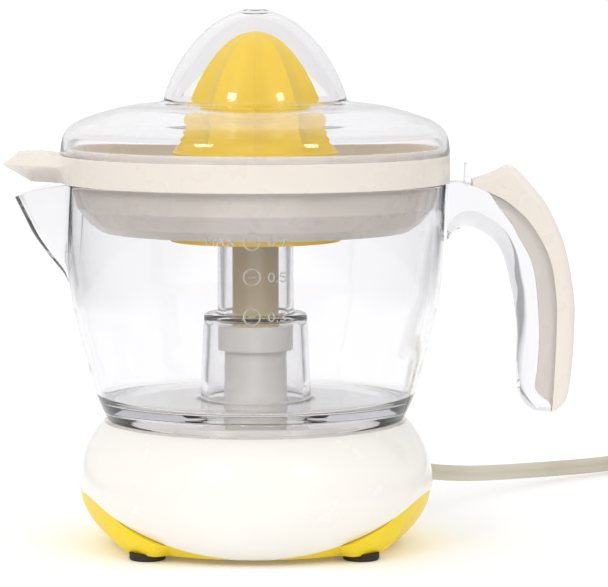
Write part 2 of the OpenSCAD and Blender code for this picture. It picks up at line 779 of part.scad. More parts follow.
base_housing();
bottom_cover();
rubber_feet();
housing_screws();
gear_plate();
plate_screws();
gear_axle();
motor_stator();
motor_screws();
coil_bobbin();
coil_winding();
rotor_bushes();
spindle_bushes();
micro_switch();
switch_terminals();
lead_wires();
motor_rotor();
motor_shaft();
motor_pinion();
intermediate_gear();
output_gear();
spindle_clip();
drive_spindle();
drip_collar();
thrust_pad();
return_spring();
switch_button();
jug_bowl();
jug_handle();
handle_grip();
strainer_basket();
pulp_screen();
reamer();
lid();
strain_relief();
power_cord();
cord_coil();
cord_tail();
cord_tie();
plug_body();
plug_blades();
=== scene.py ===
import math
import bmesh
import bpy
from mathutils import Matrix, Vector


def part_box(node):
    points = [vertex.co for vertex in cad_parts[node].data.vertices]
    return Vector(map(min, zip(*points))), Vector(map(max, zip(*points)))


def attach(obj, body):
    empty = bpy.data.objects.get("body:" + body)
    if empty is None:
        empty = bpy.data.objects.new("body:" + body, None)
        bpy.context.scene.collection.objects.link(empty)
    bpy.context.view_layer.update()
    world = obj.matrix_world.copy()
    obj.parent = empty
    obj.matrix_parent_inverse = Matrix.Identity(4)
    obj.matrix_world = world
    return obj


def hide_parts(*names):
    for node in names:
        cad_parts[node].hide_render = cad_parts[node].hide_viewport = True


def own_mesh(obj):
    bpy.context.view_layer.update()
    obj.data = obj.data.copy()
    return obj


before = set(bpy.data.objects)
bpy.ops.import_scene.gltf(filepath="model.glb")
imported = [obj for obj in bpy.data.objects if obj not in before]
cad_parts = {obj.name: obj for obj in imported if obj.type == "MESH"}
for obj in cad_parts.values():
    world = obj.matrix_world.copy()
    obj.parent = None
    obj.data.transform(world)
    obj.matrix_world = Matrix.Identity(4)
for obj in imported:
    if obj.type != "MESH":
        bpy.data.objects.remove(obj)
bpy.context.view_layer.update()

MM = 0.001           # lengths below are in millimetres, unless a comment says otherwise
AXIS_X = sum(corner.x for corner in map(Vector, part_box("drive_spindle"))) / 2 / MM  # the spindle
RIM = 134.7          # height of the jug's rim
BAND_TOP = 145.0     # height of the strainer band's upper edge
JUG_R = 70.5         # the jug's radius at its rim
BAND_R = 72.0        # the strainer band's outer radius
UP = Vector((0, 0, 1))


# ---------------------------------------------------------------- shapes

def add_mesh(name, verts, faces, smooth=True):
    """A mesh object from points in millimetres, in the shared frame."""
    mesh = bpy.data.meshes.new(name)
    mesh.from_pydata([(x * MM, y * MM, z * MM) for x, y, z in verts], [], faces)
    mesh.validate()
    tidy = bmesh.new()
    tidy.from_mesh(mesh)
    bmesh.ops.remove_doubles(tidy, verts=tidy.verts, dist=1e-6)
    bmesh.ops.recalc_face_normals(tidy, faces=tidy.faces)
    tidy.to_mesh(mesh)
    tidy.free()
    mesh.polygons.foreach_set("use_smooth", [smooth] * len(mesh.polygons))
    obj = bpy.data.objects.new(name, mesh)
    bpy.context.collection.objects.link(obj)
    return obj


def crisp(obj, angle=35):
    """Shades edges sharper than the angle as edges."""
    mesh = obj.data
    tidy = bmesh.new()
    tidy.from_mesh(mesh)
    for edge in tidy.edges:
        if len(edge.link_faces) == 2:
            edge.smooth = edge.calc_face_angle(0) < math.radians(angle)
    tidy.to_mesh(mesh)
    tidy.free()
    return obj


def bevel(obj, width, segments=3, angle=40):
    """Rounds the sharp edges for good."""
    mod = obj.modifiers.new("bevel", "BEVEL")
    mod.width = width * MM
    mod.segments = segments
    mod.limit_method = "ANGLE"
    mod.angle_limit = math.radians(angle)
    return bake(obj)


def bake(obj):
    """Applies an object's modifiers to its mesh."""
    shape = bpy.data.meshes.new_from_object(obj.evaluated_get(bpy.context.evaluated_depsgraph_get()))
    old = obj.data
    obj.modifiers.clear()
    obj.data = shape
    shape.name = old.name
    bpy.data.meshes.remove(old)
    shape.polygons.foreach_set("use_smooth", [True] * len(shape.polygons))
    return obj


def join(name, parts):
    """One object from several, in the same place."""
    verts, faces = [], []
    for part in parts:
        base = len(verts)
        verts += [tuple(v.co / MM) for v in part.data.vertices]
        faces += [tuple(i + base for i in p.vertices) for p in part.data.polygons]
        bpy.data.objects.remove(part)
    return add_mesh(name, verts, faces)


def smooth_line(points, steps=6):
    """A Catmull-Rom line through chosen points of any size."""
    out = []
    last = len(points) - 1
    for i in range(last):
        a, b, c, d = (points[min(max(k, 0), last)] for k in (i - 1, i, i + 1, i + 2))
        for k in range(steps):
            t = k / steps
            out.append(tuple(0.5 * (2 * q + (r - p) * t + (2 * p - 5 * q + 4 * r - s) * t * t
                                    + (3 * q - p - 3 * r + s) * t ** 3) for p, q, r, s in zip(a, b, c, d)))
    out.append(tuple(points[-1]))
    return out


def fillet(points, closed=True, steps=5):
    """An outline of (r, z, radius) corners, with each corner rounded by its radius."""
    out = []
    count = len(points)
    for i, corner in enumerate(points):
        here = Vector(corner[:2])
        radius = corner[2] if len(corner) > 2 else 0
        if radius == 0 or (not closed and i in (0, count - 1)):
            out.append(tuple(here))
            continue
        before = Vector(points[i - 1][:2]) - here
        after = Vector(points[(i + 1) % count][:2]) - here
        angle = before.angle(after)
        if angle > math.pi - 0.02:
            out.append(tuple(here))
            continue
        reach = min(radius / math.tan(angle / 2), before.length * 0.49, after.length * 0.49)
        real = reach * math.tan(angle / 2)
        middle = here + (before.normalized() + after.normalized()).normalized() * (real / math.sin(angle / 2))
        a = here + before.normalized() * reach - middle
        b = here + after.normalized() * reach - middle
        sweep = a.angle(b)
        for k in range(steps + 1):
            t = k / steps
            spot = (a * math.sin((1 - t) * sweep) + b * math.sin(t * sweep)) / math.sin(sweep)
            out.append(tuple(middle + spot))
    return out


def fine(points, step, closed=True):
    """The outline again, with no stretch longer than a step."""
    out = []
    count = len(points)
    for i in range(count if closed else count - 1):
        a, b = Vector(points[i]), Vector(points[(i + 1) % count])
        parts = max(1, math.ceil((b - a).length / step))
        out += [tuple(a.lerp(b, k / parts)) for k in range(parts)]
    if not closed:
        out.append(tuple(points[-1]))
    return out


def around_axis(column, angle, centre=(0, 0)):
    """An upright outline of (r, z) points, placed at an angle about an upright axis."""
    return [(AXIS_X + centre[0] + r * math.cos(angle), centre[1] + r * math.sin(angle), z) for r, z in column]


def shell(name, columns):
    """Joins closed upright outlines, one for each angle, into a ring."""
    rows = len(columns[0])
    faces = []
    for i in range(len(columns)):
        nxt = (i + 1) % len(columns)
        for k in range(rows):
            up = (k + 1) % rows
            faces.append((i * rows + k, nxt * rows + k, nxt * rows + up, i * rows + up))
    return add_mesh(name, [p for column in columns for p in column], faces)


def evenly(around):
    """Evenly spaced angles all the way round."""
    return [2 * math.pi * k / around for k in range(around)]


def turn(name, outline, angles, centre=(0, 0), shift=None):
    """Turns an (r, z) outline about an upright axis.

    shift moves a point by its angle: f(r, z, angle) gives (r, z).
    """
    return shell(name, [around_axis([shift(r, z, a) for r, z in outline] if shift else outline, a, centre)
                        for a in angles])


def columns_at(*stretches):
    """Angles from (first, step, count) stretches in degrees, which makes them finer over the spout."""
    degrees = {round(first + k * step, 3) for first, step, count in stretches for k in range(count)}
    return [math.radians(c) for c in sorted(degrees)]


def loft(name, rings, capped=True):
    """Joins closed rings of points in order."""
    verts = [p for ring in rings for p in ring]
    size = len(rings[0])
    faces = []
    for i in range(len(rings) - 1):
        for k in range(size):
            nxt = (k + 1) % size
            faces.append((i * size + k, i * size + nxt, (i + 1) * size + nxt, (i + 1) * size + k))
    if capped:
        faces.append(tuple(reversed(range(size))))
        faces.append(tuple(range((len(rings) - 1) * size, len(rings) * size)))
    return add_mesh(name, verts, faces)


def soft_max(a, b, width):
    """The larger of two, with a rounded corner of that width where they cross."""
    if width <= 0 or abs(a - b) >= width:
        return max(a, b)
    return max(a, b) + (width - abs(a - b)) ** 2 / (4 * width)


# ---------------------------------------------------------------- materials

def shader(name):
    """A new material, with its nodes, its links and its main shader."""
    mat = bpy.data.materials.new(name)
    mat.use_nodes = True
    nodes, links = mat.node_tree.nodes, mat.node_tree.links
    return mat, nodes, links, nodes["Principled BSDF"]


def texture(nodes, links, scale, detail=3, roughness=0.5, stretch=(1, 1, 1)):
    """Noise in the object's own space; scale is in waves to a metre."""
    place = nodes.new("ShaderNodeTexCoord")
    mapping = nodes.new("ShaderNodeMapping")
    mapping.inputs["Scale"].default_value = stretch
    wave = nodes.new("ShaderNodeTexNoise")
    wave.inputs["Scale"].default_value = scale
    wave.inputs["Detail"].default_value = detail
    wave.inputs["Roughness"].default_value = roughness
    links.new(place.outputs["Object"], mapping.inputs["Vector"])
    links.new(mapping.outputs["Vector"], wave.inputs["Vector"])
    return wave.outputs["Fac"]


def ramp(nodes, links, source, low, high, start=0.3, end=0.7):
    """Two values or colours spread over a part of a texture's range."""
    is_colour = isinstance(low, tuple)
    node = nodes.new("ShaderNodeMix" if is_colour else "ShaderNodeMapRange")
    if is_colour:
        spread = nodes.new("ShaderNodeMapRange")
        spread.inputs["From Min"].default_value = start
        spread.inputs["From Max"].default_value = end
        links.new(source, spread.inputs["Value"])
        node.data_type = "RGBA"
        links.new(spread.outputs["Result"], node.inputs["Factor"])
        node.inputs["A"].default_value = (*low, 1)
        node.inputs["B"].default_value = (*high, 1)
        return node.outputs[2]
    node.inputs["From Min"].default_value = start
    node.inputs["From Max"].default_value = end
    node.inputs["To Min"].default_value = low
    node.inputs["To Max"].default_value = high
    links.new(source, node.inputs["Value"])
    return node.outputs["Result"]


def linear(r, g, b):
    """A colour given as sRGB from 0 to 255."""
    def one(c):
        c /= 255
        return c / 12.92 if c <= 0.04045 else ((c + 0.055) / 1.055) ** 2.4
    return tuple(one(c) for c in (r, g, b))


def bump(nodes, links, main, source, depth, strength=1.0):
    """Surface detail of a depth in millimetres."""
    node = nodes.new("ShaderNodeBump")
    node.inputs["Distance"].default_value = depth * MM
    node.inputs["Strength"].default_value = strength
    links.new(source, node.inputs["Height"])
    links.new(node.outputs["Normal"], main.inputs["Normal"])


def plastic(name, colour, shade, rough=(0.2, 0.3), grain=900, depth=0.01, patch=30, coat=0.0, through=0.0):
    """Moulded plastic: a colour that drifts a little, a faint moulded grain and an uneven gloss."""
    mat, nodes, links, main = shader(name)
    drift = texture(nodes, links, patch, detail=2)
    links.new(ramp(nodes, links, drift, colour, shade), main.inputs["Base Color"])
    gloss = texture(nodes, links, patch * 3, detail=4)
    links.new(ramp(nodes, links, gloss, *rough), main.inputs["Roughness"])
    bump(nodes, links, main, texture(nodes, links, grain, detail=3), depth)
    main.inputs["IOR"].default_value = 1.5
    main.inputs["Coat Weight"].default_value = coat
    main.inputs["Coat Roughness"].default_value = 0.06
    if through:
        main.inputs["Subsurface Weight"].default_value = through
        main.inputs["Subsurface Radius"].default_value = (1.0, 0.8, 0.6)
        main.inputs["Subsurface Scale"].default_value = 0.002
    return mat


def clear(name, tint, rough=(0.0, 0.03), ior=1.45, smoke=0.0):
    """Clear moulded plastic, with faint flow ripples."""
    mat, nodes, links, main = shader(name)
    flow = texture(nodes, links, 55, detail=2, stretch=(1, 1, 0.4))
    links.new(ramp(nodes, links, flow, tint, tuple(c * 0.985 for c in tint)), main.inputs["Base Color"])
    links.new(ramp(nodes, links, texture(nodes, links, 240, detail=3), *rough), main.inputs["Roughness"])
    bump(nodes, links, main, flow, 0.05, 0.25)
    main.inputs["Transmission Weight"].default_value = 1.0
    main.inputs["IOR"].default_value = ior
    # lamps and sky reach what stands behind the plastic
    ray, open_way, mix = (nodes.new(kind) for kind in ("ShaderNodeLightPath", "ShaderNodeBsdfTransparent",
                                                       "ShaderNodeMixShader"))
    open_way.inputs["Color"].default_value = (0.93, 0.93, 0.93, 1)
    links.new(ray.outputs["Is Shadow Ray"], mix.inputs["Fac"])
    links.new(main.outputs["BSDF"], mix.inputs[1])
    links.new(open_way.outputs["BSDF"], mix.inputs[2])
    links.new(mix.outputs["Shader"], nodes["Material Output"].inputs["Surface"])
    if smoke:
        inner = nodes.new("ShaderNodeVolumeAbsorption")
        inner.inputs["Color"].default_value = (0.45, 0.44, 0.5, 1)
        inner.inputs["Density"].default_value = smoke
        links.new(inner.outputs["Volume"], nodes["Material Output"].inputs["Volume"])
    return mat


def metal(name, colour, shade, rough=(0.25, 0.4), stretch=(1, 1, 12)):
    """Metal with fine working marks."""
    mat, nodes, links, main = shader(name)
    marks = texture(nodes, links, 700, detail=4, stretch=stretch)
    links.new(ramp(nodes, links, marks, colour, shade), main.inputs["Base Color"])
    links.new(ramp(nodes, links, marks, *rough), main.inputs["Roughness"])
    bump(nodes, links, main, marks, 0.02)
    main.inputs["Metallic"].default_value = 1.0
    return mat


MATERIALS = {
    "white_shell": plastic("white_shell", linear(245, 242, 235), linear(243, 239, 232), (0.2, 0.28), coat=0.3,
                           through=0.08),
    "yellow_shell": plastic("yellow_shell", linear(244, 216, 0), linear(241, 210, 0), (0.28, 0.38),
                            through=0.08),
    "yellow_cone": plastic("yellow_cone", linear(250, 212, 0), linear(247, 206, 0), (0.3, 0.4), through=0.1),
    "ivory_plastic": plastic("ivory_plastic", linear(235, 226, 216), linear(232, 223, 213), (0.24, 0.34),
                             coat=0.15, through=0.15),
    "tan_plastic": plastic("tan_plastic", linear(220, 198, 148), linear(212, 188, 136), (0.3, 0.4)),
    "clear_plastic": clear("clear_plastic", (0.975, 0.972, 0.978), smoke=9),
    "clear_frosted": clear("clear_frosted", (0.93, 0.93, 0.94), rough=(0.3, 0.4)),
    "foot_rubber": plastic("foot_rubber", linear(46, 36, 24), linear(34, 26, 16), (0.65, 0.8), grain=1600,
                           depth=0.05),
    "cord_plastic": plastic("cord_plastic", linear(208, 202, 184), linear(200, 192, 172), (0.35, 0.45),
                            grain=1400, depth=0.03),
    "tie_plastic": plastic("tie_plastic", linear(70, 70, 70), linear(56, 56, 56), (0.4, 0.5)),
    "grey_plastic": plastic("grey_plastic", linear(190, 190, 186), linear(178, 178, 174), (0.45, 0.55)),
    "bobbin_plastic": plastic("bobbin_plastic", linear(225, 222, 210), linear(214, 210, 198), (0.4, 0.5)),
    "black_plastic": plastic("black_plastic", linear(34, 34, 34), linear(26, 26, 26), (0.4, 0.5)),
    "wire_cover": plastic("wire_cover", linear(186, 40, 32), linear(170, 32, 26), (0.35, 0.45)),
    "magnet": plastic("magnet", linear(52, 52, 56), linear(40, 40, 44), (0.5, 0.65), grain=2000, depth=0.05),
    "gear_plastic": plastic("gear_plastic", linear(236, 234, 226), linear(228, 225, 215), (0.35, 0.45)),
    "steel": metal("steel", (0.6, 0.6, 0.62), (0.5, 0.5, 0.52)),
    "nickel": metal("nickel", (0.7, 0.68, 0.64), (0.6, 0.58, 0.54), (0.15, 0.28)),
    "motor_steel": metal("motor_steel", (0.45, 0.46, 0.48), (0.36, 0.37, 0.39), (0.35, 0.5)),
    "copper": metal("copper", (0.72, 0.36, 0.18), (0.6, 0.27, 0.12), (0.25, 0.35), (1, 1, 30)),
    "bronze": metal("bronze", (0.62, 0.46, 0.24), (0.52, 0.38, 0.2), (0.4, 0.55)),
}


def finish_piece(obj, slot, body, *nodes):
    """Gives a piece its material and its body, and hides the CAD nodes that it stands for."""
    obj.data.materials.clear()
    obj.data.materials.append(MATERIALS[slot])
    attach(obj, body)
    if nodes:
        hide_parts(*nodes)
    return obj


# ---------------------------------------------------------------- camera, light and floor

camera = bpy.data.objects.new("camera", bpy.data.cameras.new("camera"))
bpy.context.collection.objects.link(camera)
LOOKS_DOWN = 5.48    # degrees
camera.location = (0.00569, -1.212, 0.2093)
camera.rotation_euler = (math.radians(90 - LOOKS_DOWN), 0, 0)
camera.data.lens = 194.1
camera.data.sensor_width = 36
camera.data.clip_start = 0.05
camera.data.clip_end = 400
bpy.context.scene.camera = camera
bpy.context.scene.view_settings.view_transform = "Standard"

world = bpy.data.worlds.new("studio")
bpy.context.scene.world = world
world.use_nodes = True
sky, sky_links = world.node_tree.nodes, world.node_tree.links
sky_place = sky.new("ShaderNodeTexCoord")
sky_way = sky.new("ShaderNodeSeparateXYZ")
sky_links.new(sky_place.outputs["Generated"], sky_way.inputs["Vector"])
height = ramp(sky, sky_links, sky_way.outputs["Z"], (0.94, 0.94, 0.95), (1.08, 1.08, 1.08), 0.0, 0.6)
side = ramp(sky, sky_links, sky_way.outputs["X"], (1.0, 1.0, 1.0), (0.86, 0.86, 0.87), -0.2, 0.95)
both = sky.new("ShaderNodeMix")
both.data_type = "RGBA"
both.blend_type = "MULTIPLY"
both.inputs["Factor"].default_value = 1
sky_links.new(height, both.inputs[6])
sky_links.new(side, both.inputs[7])
sky_links.new(both.outputs[2], sky["Background"].inputs["Color"])
sky["Background"].inputs["Strength"].default_value = 1.0


def lamp(name, where, target, size, power):
    """A soft rectangular lamp turned to a target, in metres."""
    light = bpy.data.objects.new(name, bpy.data.lights.new(name, "AREA"))
    light.data.shape = "RECTANGLE"
    light.data.size, light.data.size_y = size
    light.data.energy = power
    light.location = where
    light.rotation_euler = (Vector(where) - Vector(target)).to_track_quat("Z", "Y").to_euler()
    bpy.context.collection.objects.link(light)


lamp("key", (-0.62, -1.0, 0.8), (0, 0, 0.1), (0.22, 0.22), 1.6)
lamp("second", (0.62, -0.9, 0.72), (0, 0, 0.1), (0.16, 0.26), 1.2)

def math_node(nodes, links, kind, *values):
    """A Math node of that kind, fed by sockets or plain numbers."""
    node = nodes.new("ShaderNodeMath")
    node.operation = kind
    for spot, value in enumerate(values):
        if isinstance(value, (int, float)):
            node.inputs[spot].default_value = value
        else:
            links.new(value, node.inputs[spot])
    return node.outputs["Value"]


# the floor is white and faintly glowing under and behind the object; to both sides it is painted grey and its
# glow fades out, a painted shade for the clear plastic's edges to reflect
FLOOR_HALF = 60              # metres
GREY_FROM, GREY_TO = 0.26, 0.5   # metres beside the middle line
WHITE_WIDENS = 0.11          # how much further out the grey starts for each metre in front or behind
floor = add_mesh("floor", [(x * FLOOR_HALF / MM, y * FLOOR_HALF / MM, 0)
                           for x, y in ((-1, -1), (1, -1), (1, 1), (-1, 1))], [(0, 1, 2, 3)], smooth=False)
floor_mat, nodes, links, main = shader("floor")
floor_place = nodes.new("ShaderNodeTexCoord")
floor_way = nodes.new("ShaderNodeSeparateXYZ")
links.new(floor_place.outputs["Object"], floor_way.inputs["Vector"])
aside = math_node(nodes, links, "ABSOLUTE", floor_way.outputs["X"])
behind = math_node(nodes, links, "ABSOLUTE", floor_way.outputs["Y"])
beside = math_node(nodes, links, "SUBTRACT", aside, math_node(nodes, links, "MULTIPLY", behind, WHITE_WIDENS))
# painted shade: the floor's colour goes from white to grey away from the middle line, so the clear plastic
# reflects grey edges
shade = ramp(nodes, links, beside, (0.95, 0.95, 0.95), (0.34, 0.34, 0.35), GREY_FROM, GREY_TO)
links.new(shade, main.inputs["Base Color"])
main.inputs["Roughness"].default_value = 0.6
main.inputs["Specular IOR Level"].default_value = 0.2
main.inputs["Emission Color"].default_value = (1, 1, 1, 1)
# the glow that keeps the middle white fades out where the painted shade starts
links.new(ramp(nodes, links, beside, 0.1, 0.0, GREY_FROM, GREY_TO), main.inputs["Emission Strength"])
floor.data.materials.append(floor_mat)


# ---------------------------------------------------------------- the lead and its plug

COIL = Vector((188, 163))
LANE = 3.6           # from one turn of the coil to the next
INNER_LANE = 31.4
COIL_START, COIL_SWEEP = 128, 848    # degrees
COIL_JOINS = 102     # degrees from the coil's start to where the lead has come down into it
LEAD_LIES = 4.1      # height of the lead's middle on the floor
LEAD_HALF, LEAD_WAIST = 1.6, 0.85    # half of its thickness, at a wire and between the two wires
RELIEF_AT = Vector((AXIS_X, 0, 17))
RELIEF_WAY = Vector((math.cos(math.radians(58)), math.sin(math.radians(58)), 0))



def coil_point(at, away, z, flat):
    """A point of the lead by its angle in degrees about the coil's middle, and its distance from it."""
    return (COIL.x + away * math.cos(math.radians(at)), COIL.y + away * math.sin(math.radians(at)), z, flat)


lead = [tuple(RELIEF_AT + RELIEF_WAY * reach) for reach in (82, 87.3)]
lead += [(38, 80, 16.5), (44, 86.5, 15), (52, 93.5, 12.8), (60.5, 101, 10.7), (72, 112, 8.6), (84, 123.5, 7.2),
         (97, 136.5, 6), (110, 149, 5), (122, 159, 4.4), (133, 168.2, 4.1), (140, 174.3, 4.3)]
lead = [(*p, 0) for p in lead]       # x, y, z and how far it is twisted over, from 0 to 1
lead += [(147, 181, 6.4, 0.35), (155, 188.5, 9, 0.85)]
lead += [coil_point(*spot) for spot in (
    (124, 38.9, 9.3, 1), (110, 37, 9.2, 1), (96, 34.9, 9.2, 1), (82, 33.1, 9.1, 1), (68, 32.2, 8.3, 0.7),
    (54, 32.1, 6.4, 0.25), (40, 32.2, 4.7, 0))]
lead += [coil_point(at, INNER_LANE + LANE * (COIL_START - at) / 360, LEAD_LIES, 0)
         for at in range(COIL_START - COIL_JOINS, COIL_START - COIL_SWEEP - 1, -8)]
lead += [(228.4, 152, LEAD_LIES, 0), (227, 138, 4, 0), (224.5, 126, 4.4, 0),
         (223, 115, 5.4, 0), (222.6, 104, 6, 0)]
lead = smooth_line(lead, 5)

flat_section = []
for end in (1, -1):
    for turned in range(-40, 221, 20):
        a = math.radians(turned)
        flat_section.append((end * LEAD_HALF * math.cos(a), end * (LEAD_HALF + LEAD_HALF * math.sin(a))))
    flat_section.append((-end * LEAD_WAIST, 0))
lead_rings = []
for i, (x, y, z, flat) in enumerate(lead):
    ahead = Vector(lead[min(i + 1, len(lead) - 1)][:3]) - Vector(lead[max(i - 1, 0)][:3])
    across = ahead.cross(UP).normalized()
    up = across.cross(ahead).normalized()
    over = math.radians(90 * flat)
    wide = up * math.cos(over) + across * math.sin(over)
    thin = across * math.cos(over) - up * math.sin(over)
    lead_rings.append([tuple(Vector((x, y, z)) + thin * a + wide * b) for a, b in flat_section])
cord = loft("mains_lead", lead_rings)
finish_piece(cord, "cord_plastic", "base", "power_cord", "cord_coil", "cord_tail")

# the strain relief, a tapering sleeve with ring-shaped slits
RELIEF_STARTS, RELIEF_LONG = 65.3, 22
RELIEF_TALL, RELIEF_WIDE, RELIEF_TAPER = 5.6, 4.4, 0.32
SLIT_DEPTH, SLIT_WIDE, SLIT_STEP, SLITS_FROM = 0.55, 1.1, 3, 5
relief_across = RELIEF_WAY.cross(UP)
relief_rings = []
for k in range(RELIEF_LONG * 4 + 1):
    along = k * 0.25
    taper = 1 - RELIEF_TAPER * along / RELIEF_LONG
    slit = SLIT_DEPTH if along > SLITS_FROM and along % SLIT_STEP < SLIT_WIDE else 0
    tall, wide = RELIEF_TALL * taper - slit, RELIEF_WIDE * taper - slit
    middle = RELIEF_AT + RELIEF_WAY * (RELIEF_STARTS + along)
    relief_rings.append([tuple(middle + UP * tall * math.sin(a) + relief_across * wide * math.cos(a))
                         for a in [math.pi * j / 20 for j in range(40)]])
relief = loft("strain_relief_sleeve", relief_rings)
finish_piece(relief, "cord_plastic", "base", "strain_relief")

# the tie round the coil, a closed band about the turns on one side
TIE_HALF = 3         # half of its width
tie_at = math.radians(250)
tie_out = Vector((math.cos(tie_at), math.sin(tie_at)))
tie_along = Vector((-tie_out.y, tie_out.x))
tie_loop = fine(fillet([(28.1, 0, 0.8), (43.2, 0, 0.8), (43.2, 8.9, 2), (28.1, 8.9, 2)]), 0.6)
tie_hole = fine(fillet([(29.4, 0.7, 0.4), (41.9, 0.7, 0.4), (41.9, 7.7, 1.2), (29.4, 7.7, 1.2)]), 0.6)


def tie_ring(outline, along):
    """The band's outline at a place across its width."""
    return [(*(COIL + tie_out * away + tie_along * along), z) for away, z in outline]


count = min(len(tie_loop), len(tie_hole))
tie_loop, tie_hole = ([line[round(k * (len(line) - 1) / (count - 1))] for k in range(count)]
                      for line in (tie_loop, tie_hole))
tie_rings = [tie_ring(tie_hole, -TIE_HALF)]
tie_rings += [tie_ring(tie_loop, -TIE_HALF + k * 0.5) for k in range(13)]
tie_rings += [tie_ring(tie_hole, TIE_HALF), tie_ring(tie_hole, -TIE_HALF)]
tie = loft("coil_tie", tie_rings, capped=False)
finish_piece(crisp(tie), "tie_plastic", "base", "cord_tie")

# the plug: a tapered body with finger hollows, and two flat blades with holes
PLUG = Vector((222.6, 107, 6))
SQUARENESS = 3.5     # the power that makes its section a rounded square
GROOVE = 0.7         # depth of the finger grooves
BLADE_APART, BLADE_THICK, BLADE_HOLE = 6.35, 1.5, 1.5    # from the middle to each, thickness, hole's radius
BLADE_HOLE_AT = 39   # from the plug's back
plug_rings = []
for along, wide, high in smooth_line([(0, 4.2, 4.4), (0.8, 5, 4.9), (5, 6.4, 5.2), (10, 8.6, 5.5),
                                      (14, 10, 5.8),
                                      (19, 10.3, 5.9), (24, 10.3, 5.9), (25.4, 10, 5.7), (26, 9.3, 5.1)], 4):
    ring = []
    for k in range(48):
        a = 2 * math.pi * k / 48
        c, s = math.cos(a), math.sin(a)
        square = (abs(c) ** SQUARENESS + abs(s) ** SQUARENESS) ** (-1 / SQUARENESS)
        dip = GROOVE if 11 < along < 22 and along % 2.4 < 1 and abs(c) > 0.8 else 0
        ring.append((PLUG.x + (wide - dip) * c * square, PLUG.y - along, PLUG.z + high * s * square))
    plug_rings.append(ring)
plug = loft("plug_moulding", plug_rings)
finish_piece(crisp(plug, 50), "cord_plastic", "base", "plug_body")


def blade(side):
    """A flat contact with rounded corners and a hole near its end."""
    outline = fine(fillet([(-3.2, 24, 0), (3.2, 24, 0), (3.2, 43, 1.6), (-3.2, 43, 1.6)]), 1)
    hole = [(BLADE_HOLE * math.cos(a), BLADE_HOLE_AT + BLADE_HOLE * math.sin(a)) for a in evenly(24)]
    face_x = PLUG.x + side * BLADE_APART - BLADE_THICK / 2
    mesh = bmesh.new()
    edges = []
    for loop in (outline, hole):
        spots = [mesh.verts.new((face_x * MM, (PLUG.y - y) * MM, (PLUG.z + z) * MM)) for z, y in loop]
        edges += [mesh.edges.new((spots[k], spots[(k + 1) % len(spots)])) for k in range(len(spots))]
    bmesh.ops.triangle_fill(mesh, use_beauty=True, edges=edges)
    pushed = bmesh.ops.extrude_face_region(mesh, geom=mesh.faces[:])
    moved = [v for v in pushed["geom"] if isinstance(v, bmesh.types.BMVert)]
    bmesh.ops.translate(mesh, vec=(BLADE_THICK * MM, 0, 0), verts=moved)
    bmesh.ops.recalc_face_normals(mesh, faces=mesh.faces)
    data = bpy.data.meshes.new("blade")
    mesh.to_mesh(data)
    mesh.free()
    obj = bpy.data.objects.new("blade", data)
    bpy.context.collection.objects.link(obj)
    return obj


blades = join("plug_contacts", [blade(-1), blade(1)])
finish_piece(crisp(blades), "nickel", "base", "plug_blades")


# ---------------------------------------------------------------- the jug

def line_value(points, at):
    """A value read off a list of (place, value) pairs."""
    if at <= points[0][0]:
        return points[0][1]
    for (a, b), (c, d) in zip(points, points[1:]):
        if at <= c:
            return b + (d - b) * (at - a) / (c - a)
    return points[-1][1]


JUG_SIDE = [(55.3, 47.3), (56, 48.5), (58.6, 54.4), (60.7, 60.4), (62.1, 66.3), (63.8, 72.3), (66, 81.2),
            (67.3, 87.2), (68.5, 93.2), (69.7, 108.8), (JUG_R, 133.4)]
JUG_WALL = 2.2
SPOUT_HALF = math.radians(35)          # half the angle between the spout's two sides, in plan
SPOUT_TIP = [(90, 61), (98.4, 69.6), (100.5, 71), (108.5, 77.5), (115.7, 82.5), (122.9, 86.1), (129, 89.1),
             (135, 91.5)]
SPOUT_LOW, SPOUT_ROUND = 88, 1.2       # its lowest height, and how far round from its middle it is looked for
LIP_FROM, LIP_DROP = 96, 5.7           # the height from which the lip drops, and by how much at its tip
LIP_IN, LIP_LONG = 60, 29.1            # where the drop starts along the spout, and over what length
side_line = smooth_line(JUG_SIDE, 6)
side_by_z = [(z, r) for r, z in side_line]
tip_by_z = smooth_line(SPOUT_TIP, 6)


def off_spout(angle):
    """The angle away from the spout, which faces -X."""
    return abs(angle % (2 * math.pi) - math.pi)


def v_reach(tip, off, round_off):
    """How far out the two straight sides of a spout lie at an angle off its middle."""
    off = math.sqrt(off * off + round_off * round_off) - round_off
    return tip * math.sin(SPOUT_HALF) / math.sin(SPOUT_HALF + off)


def jug_shift(r, z, angle):
    """Draws the wall out into the spout, and drops the rim along the lip."""
    off = off_spout(angle)
    plain = line_value(side_by_z, z)
    if z < SPOUT_LOW or r < 50 or off > SPOUT_ROUND:
        return r, z
    inner = r < plain - JUG_WALL / 2
    wall = JUG_WALL if inner else 0
    low_z = z
    for _ in range(4):
        tip = line_value(tip_by_z, low_z) - wall / math.sin(SPOUT_HALF)
        base = line_value(side_by_z, low_z) - wall - (plain - wall - r)
        reach = soft_max(base, v_reach(tip, off, 0.05 if inner else 0.09), 2.6)
        along = min(max((reach * math.cos(off) - LIP_IN) / LIP_LONG, 0), 1)
        low_z = z - LIP_DROP * along ** 2.2 * max(z - LIP_FROM, 0) / (RIM - LIP_FROM)
    return reach, low_z


